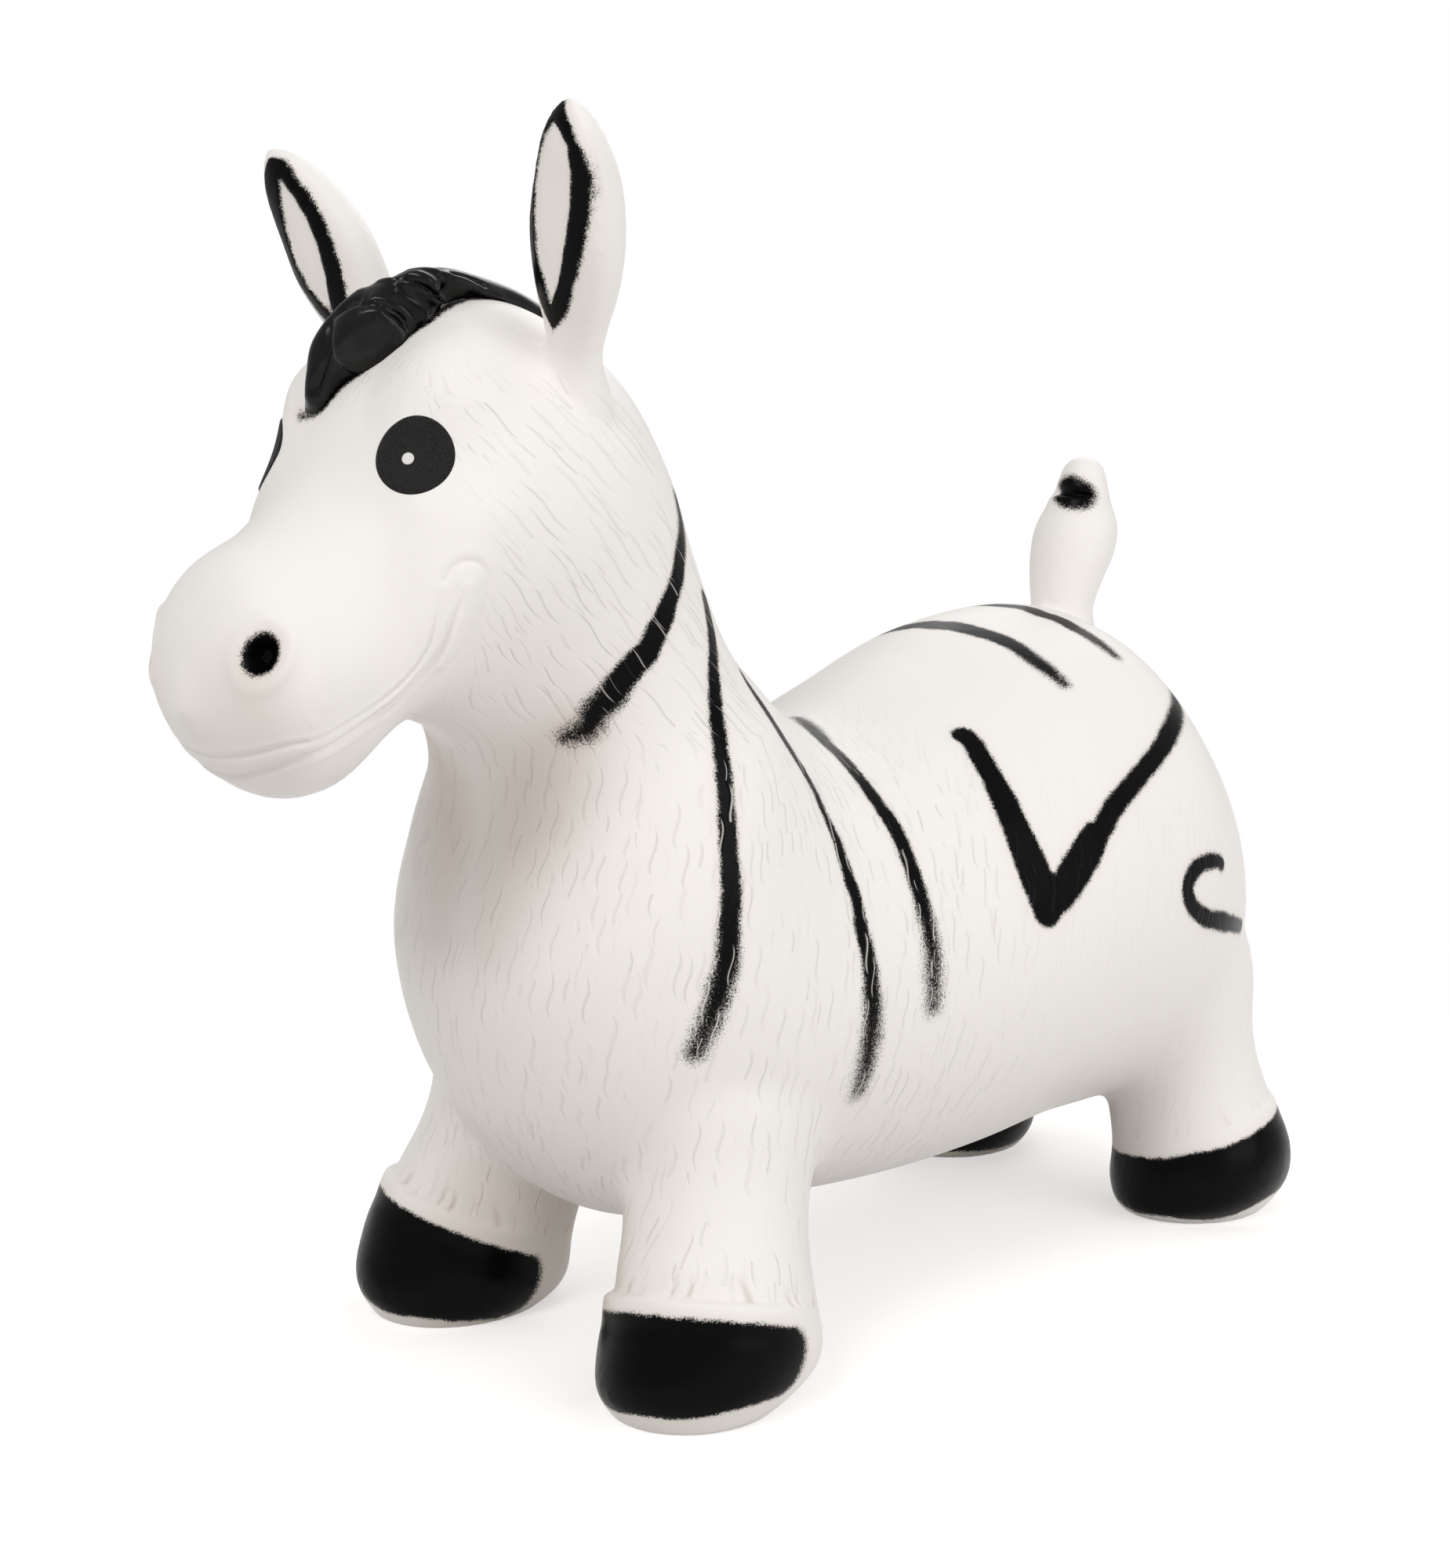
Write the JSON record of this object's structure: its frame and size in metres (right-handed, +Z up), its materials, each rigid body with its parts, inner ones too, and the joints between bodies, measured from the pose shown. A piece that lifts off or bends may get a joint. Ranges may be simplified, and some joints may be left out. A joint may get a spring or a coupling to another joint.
{
  "type": "inflatable ride-on hopping animal",
  "caption": "Inflatable vinyl zebra for a small child to sit on and bounce, held by its ears, with a push-in air plug under the belly.",
  "frame": {"origin": "on the floor, under the middle of the box round the whole animal", "axes": "+X to the animal's left side, +Y to its tail, so that the muzzle points to -Y, +Z up"},
  "size_m": [0.2476, 0.592, 0.4956],
  "materials": {
    "white_vinyl": "soft warm white vinyl with a satin surface",
    "black_paint_on_vinyl": "soft vinyl under glossy black paint",
    "eye_print": "matte black disc with a small white dot",
    "plug_vinyl": "firm grey vinyl"
  },
  "bodies": {
    "body": {"body_skin": "white_vinyl", "neck_skin": "white_vinyl", "front_left_leg": "white_vinyl", "front_right_leg": "white_vinyl", "hind_left_leg": "white_vinyl", "hind_right_leg": "white_vinyl", "tail_root": "white_vinyl"},
    "head": {"head_skin": "white_vinyl", "forelock": "black_paint_on_vinyl", "left_eye": "eye_print", "right_eye": "eye_print", "left_ear_root": "white_vinyl", "right_ear_root": "white_vinyl"},
    "left_ear": {"left_ear": "white_vinyl"},
    "right_ear": {"right_ear": "white_vinyl"},
    "tail": {"tail": "white_vinyl"},
    "front_left_hoof": {"front_left_hoof": "black_paint_on_vinyl"},
    "front_right_hoof": {"front_right_hoof": "black_paint_on_vinyl"},
    "hind_left_hoof": {"hind_left_hoof": "black_paint_on_vinyl"},
    "hind_right_hoof": {"hind_right_hoof": "black_paint_on_vinyl"},
    "valve_plug": {"valve_plug": "plug_vinyl"}
  },
  "joints": [
    {"name": "head_nod", "type": "hinge", "parent": "body", "child": "head", "pos_m": [0, -0.1119, 0.2766], "axis": [1, 0, 0], "range_deg": [-6, 6], "stiffness_Nm_per_rad": 60, "deforming": ["neck_skin"]},
    {"name": "left_ear_bend", "type": "hinge", "parent": "head", "child": "left_ear", "pos_m": [0.0641, -0.1641, 0.4215], "axis": [1, 0, 0], "range_deg": [-20, 20], "stiffness_Nm_per_rad": 3, "deforming": ["left_ear_root"]},
    {"name": "right_ear_bend", "type": "hinge", "parent": "head", "child": "right_ear", "pos_m": [-0.0641, -0.1641, 0.4215], "axis": [1, 0, 0], "range_deg": [-20, 20], "stiffness_Nm_per_rad": 3, "deforming": ["right_ear_root"]},
    {"name": "tail_wag", "type": "hinge", "parent": "body", "child": "tail", "pos_m": [0, 0.2202, 0.3143], "axis": [0, 1, 0], "range_deg": [-25, 25], "stiffness_Nm_per_rad": 2, "deforming": ["tail_root"]},
    {"name": "front_left_bounce", "type": "slide", "parent": "body", "child": "front_left_hoof", "axis": [0, 0, 1], "range_m": [0, 0.01], "stiffness_N_per_m": 2500, "springref_m": -0.006, "deforming": ["front_left_leg"]},
    {"name": "front_right_bounce", "type": "slide", "parent": "body", "child": "front_right_hoof", "axis": [0, 0, 1], "range_m": [0, 0.01], "stiffness_N_per_m": 2500, "springref_m": -0.006, "deforming": ["front_right_leg"]},
    {"name": "hind_left_bounce", "type": "slide", "parent": "body", "child": "hind_left_hoof", "axis": [0, 0, 1], "range_m": [0, 0.01], "stiffness_N_per_m": 2500, "springref_m": -0.006, "deforming": ["hind_left_leg"]},
    {"name": "hind_right_bounce", "type": "slide", "parent": "body", "child": "hind_right_hoof", "axis": [0, 0, 1], "range_m": [0, 0.01], "stiffness_N_per_m": 2500, "springref_m": -0.006, "deforming": ["hind_right_leg"]},
    {"name": "plug_pull", "type": "slide", "parent": "body", "child": "valve_plug", "axis": [0, 0, -1], "range_m": [0, 0.02]}
  ]
}
